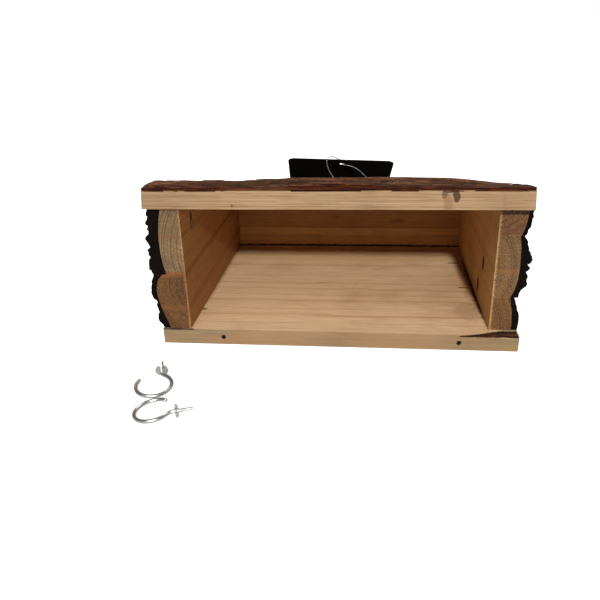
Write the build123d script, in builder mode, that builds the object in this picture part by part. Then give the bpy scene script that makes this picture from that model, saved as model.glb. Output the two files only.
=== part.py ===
from build123d import *
import os
from math import cos, radians, sin, tan, asin, degrees

os.makedirs("parts", exist_ok=True)

# Ground feeder for garden birds: an open-fronted shelter of half-log slabs with the bark
# left on, under a lean-to slab roof that falls to the back, on a plain pine floor board.
# Millimetres. Origin at the centre of the floor board's underside, +Z up, opening on -Y.

# Floor board
floor_width, floor_depth, floor_thick = 260, 204, 12
front_y = -floor_depth / 2

# Inside of the shelter
left_inner = -108.4      # sawn face of the left wall
right_inner = 110.0      # sawn face of the right wall
back_inner = 89.4        # sawn face of the back wall
left_front = front_y + 1     # left wall starts just behind the floor's front edge
right_front = front_y + 10   # right wall stands a little further back

# Roof: underside plane, its slope and its slabs
roof_slope = 15
roof_front_y = front_y - 2
roof_front_z = floor_thick + 92.7
roof_width, roof_centre_x = 263, -2.1
roof_slab_depth, roof_slab_count = 72.6, 3
roof_edge_thick, roof_crown_thick = 12.5, 15

# Nails, wire staples and screw hooks
nail_r, nail_head_r, nail_head_thick = 1.2, 2.9, 1.0
pin_r = 1.25
staple_wire, staple_crown, staple_leg, staple_proud = 1.2, 9, 6, 0.7
pilot_r, pilot_depth = 1.1, 15
pilot_z, pilot_left_x, pilot_right_x = 5.9, -83.8, 88.2
hook_wire_r, hook_ring_r, hook_bend_r = 1.25, 11.7, 5
hook_thread_length, hook_thread_r, hook_neck = 11, 1.2, 1.5
collar_r, collar_thick = 4.3, 1.2

# Swing tag and its nylon loop
card_width, card_height, card_thick, card_corner = 85, 55, 0.5, 5.5
card_hole_r, card_hole_across, card_hole_down = 1.8, 0.9, 8.1
loop_r = 0.4

# Half-log slabs. Each outline goes up the slab: height above its lower seam, then how far
# the wood and the bark stand out from the sawn inner face.
wall_slabs = {
    "left_lower": (0, 43.2,
        [(0, 15.2), (14, 20.2), (27, 22.8), (37, 21.8), (43.2, 16.5)],
        [(0, 21.0), (14, 24.2), (27, 26.0), (37, 25.2), (43.2, 22.6)]),
    "left_upper": (43.2, 98,
        [(0, 14.0), (10, 16.0), (22, 16.8), (38, 15.6), (54.8, 11.2)],
        [(0, 22.4), (6, 24.9), (14, 24.4), (24, 25.8), (38, 23.4), (54.8, 22.8)]),
    "right_lower": (0, 25.5,
        [(0, 15.4), (14, 14.8), (25.5, 12.4)],
        [(0, 19.3), (7, 19.7), (16, 18.6), (25.5, 14.5)]),
    "right_middle": (25.5, 71.5,
        [(0, 12.6), (11, 16.0), (24, 16.7), (36, 16.2), (46, 14.6)],
        [(0, 17.8), (7, 21.1), (13, 22.2), (20, 21.3), (31, 22.8), (46, 17.6)]),
    "right_upper": (71.5, 98,
        [(0, 15.4), (8, 17.6), (26.5, 18.2)],
        [(0, 18.2), (7, 21.0), (26.5, 21.3)]),
}
back_slabs = {
    "back_lower": (0, 19.2,
        [(0, 11.0), (9, 13.0), (19.2, 11.6)],
        [(0, 13.4), (9, 16.2), (19.2, 13.8)]),
    "back_upper": (19.2, 50,
        [(0, 11.4), (12, 13.6), (30.8, 12.0)],
        [(0, 13.6), (12, 17.0), (30.8, 15.4)]),
}
back_left, back_right = -122.5, 124.5

slope_sin, slope_cos = sin(radians(roof_slope)), cos(radians(roof_slope))
roof_under = Plane(
    origin=(roof_centre_x, roof_front_y, roof_front_z),
    x_dir=(1, 0, 0),
    z_dir=(0, slope_sin, slope_cos),
)
roof_side = Plane(
    origin=(roof_centre_x - roof_width / 2, roof_front_y, roof_front_z),
    x_dir=(0, slope_cos, -slope_sin),
    z_dir=(1, 0, 0),
)


def nail_group(plane, points, length, head_r=0.0, shank_r=nail_r):
    """Nails driven along the plane's normal from the given points on it."""
    with BuildPart() as group:
        with BuildSketch(plane):
            with Locations(*points):
                Circle(shank_r)
        extrude(amount=length)
        if head_r:
            with BuildSketch(plane):
                with Locations(*points):
                    Circle(head_r)
            extrude(amount=nail_head_thick)
    return group.part


def finish_piece(part, name):
    """Label a piece and write its STEP file."""
    part.label = name
    export_step(part, f"parts/{name}.step")


# ---------------------------------------------------------------- fasteners
left_mid, right_mid = left_inner - 7, right_inner + 7
floor_nail_y = (-80, 0, 50)
floor_nails = nail_group(
    Plane.XY,
    [(x, y) for x in (left_mid, right_mid) for y in floor_nail_y]
    + [(x, back_inner + 6) for x in (-62, 64)],
    32, nail_head_r,
)

# Headless nails hidden in the seams between stacked slabs: places, seam height, pin length
back_mid = back_inner + 6
seam_pins = [
    ([(left_mid, -55), (left_mid, 30)], 43.2, 24),
    ([(right_mid, -55), (right_mid, 35)], 25.5, 24),
    ([(right_mid, -72)], 71.5, 14),
    ([(-30, back_mid), (32, back_mid)], 19.2, 18),
]
with BuildPart() as wall_pins:
    for places, seam, pin_length in seam_pins:
        with BuildSketch(Plane.XY.offset(floor_thick + seam - pin_length / 2)):
            with Locations(*places):
                Circle(pin_r)
        extrude(amount=pin_length)

# Long nails square to the roof, their heads pressed just under the bark's surface
roof_head_depth = 16.8
roof_nail_v = (21, 51, 94, 124, 163)
roof_nail_points = [
    (x - roof_centre_x, v) for x in (left_mid, right_mid) for v in roof_nail_v
]
roof_head_plane = Plane(
    origin=roof_under.from_local_coords((0, 0, roof_head_depth)),
    x_dir=(1, 0, 0),
    z_dir=(0, -slope_sin, -slope_cos),
)
roof_nails = nail_group(roof_head_plane, [(x, -v) for x, v in roof_nail_points], 42, nail_head_r)

# Nails through the back slabs into the side walls' ends
back_head_plane = Plane(origin=(0, back_inner + 16.4, 0), x_dir=(1, 0, 0), z_dir=(0, -1, 0))
back_nail_points = [
    (x, floor_thick + z) for x in (left_mid + 1, right_mid - 1) for z in (9.6, 27)
]
back_nails = nail_group(back_head_plane, back_nail_points, 43, nail_head_r)

# Wire staples left in the inner faces, crowns upright
with BuildPart() as wall_staples:
    for face_x, side, y, z in (
        (left_inner, 1, -73.4, 87.5), (right_inner, -1, -48, 47.3), (right_inner, -1, -33.7, 23.4),
    ):
        face = Plane(origin=(face_x, y, z), x_dir=(0, 1, 0), z_dir=(side, 0, 0))
        with BuildSketch(face):
            Rectangle(staple_wire, staple_crown)
        extrude(amount=staple_proud)
        with BuildSketch(face):
            with GridLocations(0, staple_crown - staple_wire, 1, 2):
                Rectangle(staple_wire, staple_wire)
        extrude(amount=-staple_leg)

# ---------------------------------------------------------------- floor board
# Front right corner, where the board's top still has a thin wedge of bark
wane_start, wane_end, wane_deep = 88, floor_width / 2 - 0.8, 1.8
wane_outline = [
    (wane_start, front_y), (wane_end, front_y), (wane_end, right_front - 0.2),
    (wane_end - 9, right_front - 0.2), (103, front_y + 3.2),
]
with BuildPart() as floor_wane_bark:
    with BuildSketch(Plane.XY.offset(floor_thick)):
        with BuildLine():
            Polyline(*wane_outline, close=True)
        make_face()
    extrude(amount=-wane_deep)
finish_piece(floor_wane_bark.part, "floor_wane_bark")

with BuildPart() as floor_board:
    with BuildSketch():
        Rectangle(floor_width, floor_depth)
    extrude(amount=floor_thick)
    chamfer(floor_board.edges().filter_by(Axis.Z), 0.6)
    with BuildSketch(Plane(origin=(0, front_y, pilot_z), x_dir=(1, 0, 0), z_dir=(0, -1, 0))):
        with Locations((pilot_left_x, 0), (pilot_right_x, 0)):
            Circle(pilot_r)
    extrude(amount=-pilot_depth, mode=Mode.SUBTRACT)
    add(floor_wane_bark.part, mode=Mode.SUBTRACT)
    add(floor_nails, mode=Mode.SUBTRACT)
finish_piece(floor_board.part, "floor_board")


# ---------------------------------------------------------------- walls
def slab_face(plane, inner, side, low, high, wood, bark=None):
    """Cross-section of a slab, or of its bark when a bark outline is given."""
    def along(points):
        return [(inner + side * out, floor_thick + low + up) for up, out in points]

    with BuildSketch(plane) as section:
        with BuildLine():
            wood_line = Spline(*along(wood))
            if bark:
                bark_line = Spline(*along(bark))
                Line(wood_line @ 0, bark_line @ 0)
                Line(wood_line @ 1, bark_line @ 1)
            else:
                bottom, top = floor_thick + low, floor_thick + high
                Polyline(wood_line @ 0, (inner, bottom), (inner, top), wood_line @ 1)
        make_face()
    return section.sketch


fasteners = (floor_nails, wall_pins.part, roof_nails, back_nails, wall_staples.part)


def build_slab(name, plane, length, inner, side, low, high, wood, bark):
    """One sawn slab and its bark, cut to the roof's underside and bored for its nails."""
    for piece_name, bark_line in ((name + "_slab", None), (name + "_bark", bark)):
        with BuildPart() as piece:
            add(slab_face(plane, inner, side, low, high, wood, bark_line))
            extrude(amount=length, dir=plane.z_dir)
            split(bisect_by=roof_under, keep=Keep.BOTTOM)
            for group in fasteners:
                add(group, mode=Mode.SUBTRACT)
        finish_piece(piece.part, piece_name)


front_planes = {
    start: Plane(origin=(0, start, 0), x_dir=(1, 0, 0), z_dir=(0, -1, 0))
    for start in (left_front, right_front)
}
for slab_name, (low, high, wood, bark) in wall_slabs.items():
    on_left = slab_name.startswith("left")
    start = left_front if on_left else right_front
    inner, side = (left_inner, -1) if on_left else (right_inner, 1)
    build_slab(slab_name, front_planes[start], start - back_inner, inner, side, low, high, wood, bark)

back_plane = Plane(origin=(back_left, 0, 0), x_dir=(0, 1, 0), z_dir=(1, 0, 0))
for slab_name, (low, high, wood, bark) in back_slabs.items():
    build_slab(slab_name, back_plane, back_right - back_left, back_inner, 1, low, high, wood, bark)

# ---------------------------------------------------------------- tag's staple
# The loop hangs from a small staple in the roof's bark. Its bight lies along X under the
# staple's crown, and that line is the tag's hinge.
tag_hinge = (-0.7, -5.0, 101.8)
tag_staple_wire, tag_staple_span, tag_staple_leg = 0.8, 7, 6
crown_z = tag_hinge[2] + loop_r + 0.3
with BuildPart() as tag_staple:
    staple_centre = (tag_hinge[0], tag_hinge[1], crown_z)
    with BuildSketch(Plane(origin=staple_centre, x_dir=(1, 0, 0), z_dir=(0, 0, 1))):
        Rectangle(tag_staple_wire, tag_staple_span)
    extrude(amount=tag_staple_wire)
    with BuildSketch(Plane(origin=staple_centre, x_dir=(1, 0, 0), z_dir=(0, 0, 1))):
        with GridLocations(0, tag_staple_span - tag_staple_wire, 1, 2):
            Rectangle(tag_staple_wire, tag_staple_wire)
    extrude(amount=-tag_staple_leg)
finish_piece(tag_staple.part, "tag_staple")

# ---------------------------------------------------------------- roof
roof_bark_rise = [(0, 16.3), (6, 18.6), (20, 20.9), (38, 21.8), (56, 20.4), (72.6, 17.0)]
roof_wood_rise = [
    (0, roof_edge_thick), (roof_slab_depth / 2, roof_crown_thick), (roof_slab_depth, roof_edge_thick),
]
head_pits = nail_group(
    Plane(origin=roof_head_plane.origin, x_dir=(1, 0, 0), z_dir=(0, slope_sin, slope_cos)),
    roof_nail_points, 8, shank_r=nail_head_r,
)
for slab in range(roof_slab_count):
    slab_name = "roof_" + ("front", "middle", "rear")[slab]
    start_v = slab * roof_slab_depth
    with BuildPart() as roof_slab:
        with BuildSketch(roof_side):
            with BuildLine():
                top = Spline(*[(start_v + v, w) for v, w in roof_wood_rise])
                Polyline(top @ 0, (start_v, 0), (start_v + roof_slab_depth, 0), top @ 1)
            make_face()
        extrude(amount=roof_width)
        add(roof_nails, mode=Mode.SUBTRACT)
    finish_piece(roof_slab.part, slab_name + "_slab")
    with BuildPart() as roof_bark:
        with BuildSketch(roof_side):
            with BuildLine():
                low_line = Spline(*[(start_v + v, w) for v, w in roof_wood_rise])
                high_line = Spline(*[(start_v + v, w) for v, w in roof_bark_rise])
                Line(low_line @ 0, high_line @ 0)
                Line(low_line @ 1, high_line @ 1)
            make_face()
        extrude(amount=roof_width)
        add(roof_nails, mode=Mode.SUBTRACT)
        add(head_pits, mode=Mode.SUBTRACT)
        add(tag_staple.part, mode=Mode.SUBTRACT)
    finish_piece(roof_bark.part, slab_name + "_bark")

# ---------------------------------------------------------------- swing tag
# The card leans towards the front, its long top edge uppermost and its lower edge just
# clear of the bark.
tag_turn, tag_roll, tag_lean = radians(3.5), radians(-2.8), radians(35.5)
card_across = Vector(cos(tag_turn) * cos(tag_roll), sin(tag_turn) * cos(tag_roll), sin(tag_roll))
card_down = Vector(-sin(tag_turn) * cos(tag_lean), cos(tag_turn) * cos(tag_lean), -sin(tag_lean))
card_plane = Plane(origin=(-0.7, -6.2, 118.2), x_dir=card_across, z_dir=card_across.cross(card_down))
with BuildPart() as tag_card:
    with BuildSketch(card_plane):
        with Locations((0, card_height / 2)):
            RectangleRounded(card_width, card_height, card_corner)
        with Locations((card_hole_across, card_hole_down)):
            Circle(card_hole_r, mode=Mode.SUBTRACT)
    extrude(amount=-card_thick)
finish_piece(tag_card.part, "tag_card")

# Nylon loop: along the hinge, up over the card's top edge, through its hole and back
loop_route = [
    (-1.15, -5.0, 101.8), (-3.8, -5.0, 101.8), (-6.6, -5.4, 102.9), (-9.3, -6.8, 107.4),
    (-11.5, -8.6, 112.6), (-11.9, -10.2, 117.6), (-10.9, -9.8, 120.7), (-8.2, -5.4, 120.7),
    (-5.0, -1.2, 118.2), (-1.8, 1.8, 116.6), (-0.1, 0.4, 113.0), (3.0, -1.6, 112.6),
    (8.2, -2.0, 111.8), (13.8, -1.4, 108.4), (18.2, 0.6, 103.6), (21.0, 1.4, 100.6),
    (24.4, -1.0, 100.5), (22.8, -4.8, 101.0), (16.6, -5.2, 101.4), (8.0, -5.0, 101.6),
    (-0.25, -5.0, 101.8),
]


def bend_radii(route):
    """As large an arc at each corner as its two runs allow."""
    points = [Vector(*point) for point in route]
    radii = []
    for before, corner, after in zip(points, points[1:], points[2:]):
        turn = (corner - before).get_angle(after - corner)
        shorter = min((corner - before).length, (after - corner).length)
        radii.append(0.45 * shorter / tan(radians(turn / 2)))
    return radii


loop_radii = bend_radii(loop_route)
with BuildPart() as tag_loop:
    with BuildLine() as loop_line:
        FilletPolyline(*loop_route, radius=loop_radii)
    with BuildSketch(Plane(origin=loop_route[0], z_dir=(-1, 0, 0))):
        Circle(loop_r)
    sweep()
finish_piece(tag_loop.part, "tag_loop")
loop_length = sum(edge.length for edge in loop_line.edges())
print(f"loop {loop_length:.1f} long, tightest bend {min(loop_radii):.2f}")
print(f"loop volume {tag_loop.part.volume:.2f}, expected {3.14159 * loop_r**2 * loop_length:.2f}")

# ---------------------------------------------------------------- screw hooks
# Two shouldered hooks lie loose in front of the floor board, each on its collar's rim and
# the far side of its ring: collar centre, then the heading from collar to ring.
loose_hooks = {"hook_a": ((-116.5, -151), 286), "hook_b": ((-92.8, -197.8), 190)}
ring_offset = 5
bend_to_ring = hook_ring_r + hook_bend_r
ring_x = hook_neck + (bend_to_ring**2 - (hook_bend_r + ring_offset) ** 2) ** 0.5
bend_end = degrees(asin((hook_bend_r + ring_offset) / bend_to_ring))
ring_sweep = 274
hook_lean = asin((collar_r - hook_wire_r) / (ring_x + hook_ring_r))
hook_rest_z = collar_r * cos(hook_lean) + collar_thick * sin(hook_lean) + 0.02
for hook_name, ((x, y), heading) in loose_hooks.items():
    ahead = (cos(radians(heading)), sin(radians(heading)))
    hook_plane = Plane(
        origin=(x, y, hook_rest_z),
        x_dir=(ahead[0] * cos(hook_lean), ahead[1] * cos(hook_lean), -sin(hook_lean)),
        z_dir=(ahead[0] * sin(hook_lean), ahead[1] * sin(hook_lean), cos(hook_lean)),
    )
    shank_plane = Plane(origin=hook_plane.origin, x_dir=hook_plane.y_dir, z_dir=hook_plane.x_dir)
    with BuildPart() as hook_wire:
        with BuildLine(hook_plane):
            Line((-collar_thick, 0), (hook_neck, 0))
            CenterArc((hook_neck, hook_bend_r), hook_bend_r, -90, 90 - bend_end)
            CenterArc((ring_x, -ring_offset), hook_ring_r, 180 - bend_end, -ring_sweep)
        with BuildSketch(shank_plane.offset(-collar_thick)):
            Circle(hook_wire_r)
        sweep()
        with BuildSketch(shank_plane.offset(-collar_thick)):
            Circle(hook_thread_r)
        extrude(amount=-(hook_thread_length - 3))
        with BuildSketch(shank_plane.offset(-collar_thick - hook_thread_length + 3)):
            Circle(hook_thread_r)
        extrude(amount=-3, taper=18)
    finish_piece(hook_wire.part, hook_name + "_wire")
    with BuildPart() as hook_collar:
        with BuildSketch(shank_plane.offset(-collar_thick)):
            Circle(collar_r)
            Circle(hook_wire_r, mode=Mode.SUBTRACT)
        extrude(amount=collar_thick)
        chamfer(hook_collar.edges().filter_by(GeomType.CIRCLE).sort_by(SortBy.RADIUS)[-2:], 0.3)
    finish_piece(hook_collar.part, hook_name + "_collar")

finish_piece(floor_nails, "floor_nails")
finish_piece(wall_pins.part, "wall_pins")
finish_piece(roof_nails, "roof_nails")
finish_piece(back_nails, "back_nails")
finish_piece(wall_staples.part, "wall_staples")
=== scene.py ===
import bpy
import numpy as np
from math import radians, sin, cos, pi
from mathutils import Matrix, Vector


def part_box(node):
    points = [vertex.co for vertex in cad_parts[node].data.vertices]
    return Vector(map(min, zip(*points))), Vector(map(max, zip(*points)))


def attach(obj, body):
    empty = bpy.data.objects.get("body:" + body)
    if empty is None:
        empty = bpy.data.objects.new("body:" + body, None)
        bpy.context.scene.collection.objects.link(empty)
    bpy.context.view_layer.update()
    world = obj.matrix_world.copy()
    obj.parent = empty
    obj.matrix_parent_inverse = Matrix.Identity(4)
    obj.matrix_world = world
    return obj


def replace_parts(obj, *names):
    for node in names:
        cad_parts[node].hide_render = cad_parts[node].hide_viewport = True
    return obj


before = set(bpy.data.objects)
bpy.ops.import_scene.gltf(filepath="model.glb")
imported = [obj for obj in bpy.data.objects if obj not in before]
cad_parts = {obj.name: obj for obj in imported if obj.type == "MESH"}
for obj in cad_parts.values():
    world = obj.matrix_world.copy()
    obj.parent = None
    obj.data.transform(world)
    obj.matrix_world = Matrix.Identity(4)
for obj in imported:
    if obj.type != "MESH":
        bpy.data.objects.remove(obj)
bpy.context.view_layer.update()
mm = 0.001


def addObject(name, data):
    thing = bpy.data.objects.new(name, data)
    bpy.context.scene.collection.objects.link(thing)
    return thing


# camera: stands a little right of the middle and looks down into the open front
viewer = {
    "place": (0.0237, -0.5105, 0.2208),
    "turn": 6.888, "tilt": 24.021, "roll": -1.776,  # degrees
    "lens": 37.675, "sensor": 36, "clip": (0.01, 30),
}


def makeCamera(s):
    data = bpy.data.cameras.new("viewer")
    data.lens, data.sensor_width = s["lens"], s["sensor"]
    data.clip_start, data.clip_end = s["clip"]
    camera = addObject("viewer", data)
    aim = Matrix.Rotation(radians(s["turn"]), 4, "Z") @ Matrix.Rotation(radians(90 - s["tilt"]), 4, "X")
    camera.matrix_world = Matrix.Translation(s["place"]) @ aim @ Matrix.Rotation(radians(s["roll"]), 4, "Z")
    bpy.context.scene.camera = camera


makeCamera(viewer)

# the tag's nylon loop, one smooth line through the card's hole and back under its staple
tagLoop = {
    "route": [
        (-1.15, -5.0, 101.8), (-3.8, -5.0, 101.8), (-6.6, -5.4, 102.9), (-9.3, -6.8, 107.4),
        (-11.5, -8.6, 112.6), (-11.9, -10.2, 117.6), (-10.9, -9.8, 120.7), (-8.2, -5.4, 120.7),
        (-5.0, -1.2, 118.2), (-1.8, 1.8, 116.6), (-0.1, 0.4, 113.0), (3.0, -1.6, 112.6),
        (8.2, -2.0, 111.8), (13.8, -1.4, 108.4), (18.2, 0.6, 103.6), (21.0, 1.4, 100.6),
        (24.4, -1.0, 100.5), (22.8, -4.8, 101.0), (16.6, -5.2, 101.4), (8.0, -5.0, 101.6),
        (-0.25, -5.0, 101.8),
    ],
    "thickness": 0.8 * mm,
    "length": 0.1,
}


def makeLoop(s):
    curve = bpy.data.curves.new("nylonLoop", "CURVE")
    curve.dimensions = "3D"
    line = curve.splines.new("NURBS")
    line.points.add(len(s["route"]) - 1)
    for point, place in zip(line.points, s["route"]):
        point.co = [c * mm for c in place] + [1]
    line.points.foreach_set("radius", [s["thickness"] / 2] * len(s["route"]))
    line.order_u = 3
    line.use_endpoint_u = True
    line.resolution_u = 8
    curve.bevel_depth = 1  # the points' own radius sets the thickness
    curve.bevel_resolution = 3
    curve.use_fill_caps = True
    loop = addObject("nylonLoop", curve)
    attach(loop, "tag")
    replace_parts(loop, "tag_loop")
    return loop


nylonLoop = makeLoop(tagLoop)
print("camera and loop ready")


# shader helpers: addNode joins sockets by links and sets plain values
def addNode(tree, kind, inputs=None, **settings):
    node = tree.nodes.new(kind)
    for name, value in settings.items():
        setattr(node, name, value)
    for name, value in (inputs or {}).items():
        socket = node.inputs[name]
        if isinstance(value, bpy.types.NodeSocket):
            tree.links.new(value, socket)
        else:
            socket.default_value = value
    return node


def calc(tree, operation, *values, clamp=False):
    return addNode(
        tree, "ShaderNodeMath", dict(enumerate(values)), operation=operation, use_clamp=clamp
    ).outputs[0]


def span(tree, value, low, high, outLow=0.0, outHigh=1.0, smooth=True):
    return addNode(
        tree, "ShaderNodeMapRange",
        {"Value": value, "From Min": low, "From Max": high, "To Min": outLow, "To Max": outHigh},
        interpolation_type="SMOOTHSTEP" if smooth else "LINEAR",
    ).outputs[0]


def tint(tree, amount, base, over, blend="MIX"):
    def rgb(c):
        return c if isinstance(c, bpy.types.NodeSocket) else (*c, 1)
    return addNode(
        tree, "ShaderNodeMix", {0: amount, 6: rgb(base), 7: rgb(over)},
        data_type="RGBA", blend_type=blend,
    ).outputs[2]


def axesOf(tree, vector):
    return addNode(tree, "ShaderNodeSeparateXYZ", {0: vector}).outputs


def vectorCalc(tree, operation, inputs):
    return addNode(tree, "ShaderNodeVectorMath", inputs, operation=operation).outputs


def noiseAt(tree, vector, scale, detail=3.0, roughness=0.55, distortion=0.0):
    return addNode(
        tree, "ShaderNodeTexNoise",
        {"Vector": vector, "Scale": scale, "Detail": detail, "Roughness": roughness,
         "Distortion": distortion},
    ).outputs["Fac"]


def stretch(tree, vector, scale, place=(0, 0, 0), turn=(0, 0, 0)):
    return addNode(
        tree, "ShaderNodeMapping",
        {"Vector": vector, "Location": place, "Rotation": turn, "Scale": scale},
    ).outputs[0]


def newGroup(name, vectors, numbers, results):
    group = bpy.data.node_groups.new(name, "ShaderNodeTree")
    for label in vectors:
        group.interface.new_socket(label, in_out="INPUT", socket_type="NodeSocketVector")
    for label in numbers:
        group.interface.new_socket(label, in_out="INPUT", socket_type="NodeSocketFloat")
    for label in results:
        group.interface.new_socket(label, in_out="OUTPUT", socket_type="NodeSocketFloat")
    source = group.nodes.new("NodeGroupInput")
    sink = group.nodes.new("NodeGroupOutput")
    return group, source.outputs, sink.inputs


def useGroup(tree, group, inputs):
    return addNode(tree, "ShaderNodeGroup", inputs, node_tree=group).outputs


def startMaterial(name):
    material = bpy.data.materials.new(name)
    material.use_nodes = True
    tree = material.node_tree
    shader = next(n for n in tree.nodes if n.type == "BSDF_PRINCIPLED")
    return material, tree, shader


# colour, roughness and a bump go to the shader; depth is the bump's, in metres
def dress(tree, shader, colour, rough, height, depth, strength):
    tree.links.new(colour, shader.inputs["Base Color"])
    tree.links.new(rough, shader.inputs["Roughness"])
    bump = addNode(tree, "ShaderNodeBump", {"Height": height, "Distance": depth, "Strength": strength})
    tree.links.new(bump.outputs[0], shader.inputs["Normal"])


def wear(piece, material):
    if isinstance(piece, str):
        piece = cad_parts[piece]
    piece.data.materials.clear()
    piece.data.materials.append(material)
    for polygon in getattr(piece.data, "polygons", []):
        polygon.material_index = 0


# growth rings: distance from the pith line (local Z) in ring widths, its fraction darkening
# slowly to a hard latewood line; each ring has its own strength
ringShape = {
    "wander": (22, 22, 2.6), "tone": (60, 60, 7), "fibre": (1500, 1500, 40),  # noise per metre
    "pullScale": 0.45, "pull": 2.2,  # uneven spacing, in ring widths
    "late": (0.35, 0.92, 0.95),  # share of a ring where latewood starts, is full and ends
}


def growthRings(s):
    group, given, out = newGroup(
        "growthRings", ["Vector"], ["Ring Width", "Wander", "Unevenness"], ["Latewood", "Tone", "Fibre"])
    t, vector = group, given["Vector"]
    slow = stretch(t, vector, s["wander"])
    wobble = addNode(t, "ShaderNodeTexNoise", {"Vector": slow, "Scale": 1.0, "Detail": 2.0}).outputs["Color"]
    centred = vectorCalc(t, "SUBTRACT", {0: wobble, 1: (0.5, 0.5, 0.5)})[0]
    moved = vectorCalc(t, "SCALE", {0: centred, "Scale": given["Wander"]})[0]
    part = axesOf(t, vectorCalc(t, "ADD", {0: vector, 1: moved})[0])
    radius = calc(t, "SQRT", calc(t, "ADD", calc(t, "POWER", part[0], 2.0), calc(t, "POWER", part[1], 2.0)))
    even = calc(t, "DIVIDE", radius, given["Ring Width"])
    pull = addNode(t, "ShaderNodeTexNoise", {"W": calc(t, "MULTIPLY", even, s["pullScale"]), "Detail": 1.0},
                   noise_dimensions="1D").outputs["Fac"]
    rings = calc(t, "ADD", even, calc(t, "MULTIPLY", pull, s["pull"]))
    count = calc(t, "FLOOR", rings)
    step = calc(t, "FRACT", rings)
    lateStart, lateFull, lateEnd = s["late"]
    fall = span(t, step, lateEnd, 1.0, 1.0, 0.0)
    line = calc(t, "MULTIPLY", span(t, step, lateStart, lateFull), fall)
    chance = addNode(t, "ShaderNodeTexWhiteNoise", {"W": count}, noise_dimensions="1D").outputs["Value"]
    strength = calc(t, "SUBTRACT", 1.0, calc(t, "MULTIPLY", chance, given["Unevenness"]))
    t.links.new(calc(t, "MULTIPLY", line, strength), out["Latewood"])
    t.links.new(noiseAt(t, stretch(t, vector, s["tone"]), 1.0, 3.0), out["Tone"])
    t.links.new(noiseAt(t, stretch(t, vector, s["fibre"]), 1.0, 3.0, 0.6), out["Fibre"])
    return group


# grime: soft cloudy patches plus small specks
def grimePatches():
    group, given, out = newGroup(
        "grimePatches", ["Vector"], ["Patch Scale", "Speck Scale"], ["Patches", "Specks"])
    patches = noiseAt(group, given["Vector"], given["Patch Scale"], 4.0, 0.6)
    specks = noiseAt(group, given["Vector"], given["Speck Scale"], 2.0, 0.5)
    group.links.new(span(group, patches, 0.45, 0.75), out["Patches"])
    group.links.new(span(group, specks, 0.62, 0.72), out["Specks"])
    return group


ringGroup, grimeGroup = growthRings(ringShape), grimePatches()


# sawn wood. Long faces show fibres and ring lines, end faces show whole rings and saw
# fuzz; the object's own normal along the grain tells them apart
facing = (0.55, 0.8)  # how far a normal turns before the look of the next face begins and is full
arris = {"fray": 0.8 * mm, "full": 0.3 * mm, "reach": 1.8 * mm, "strength": 0.42}


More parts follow.
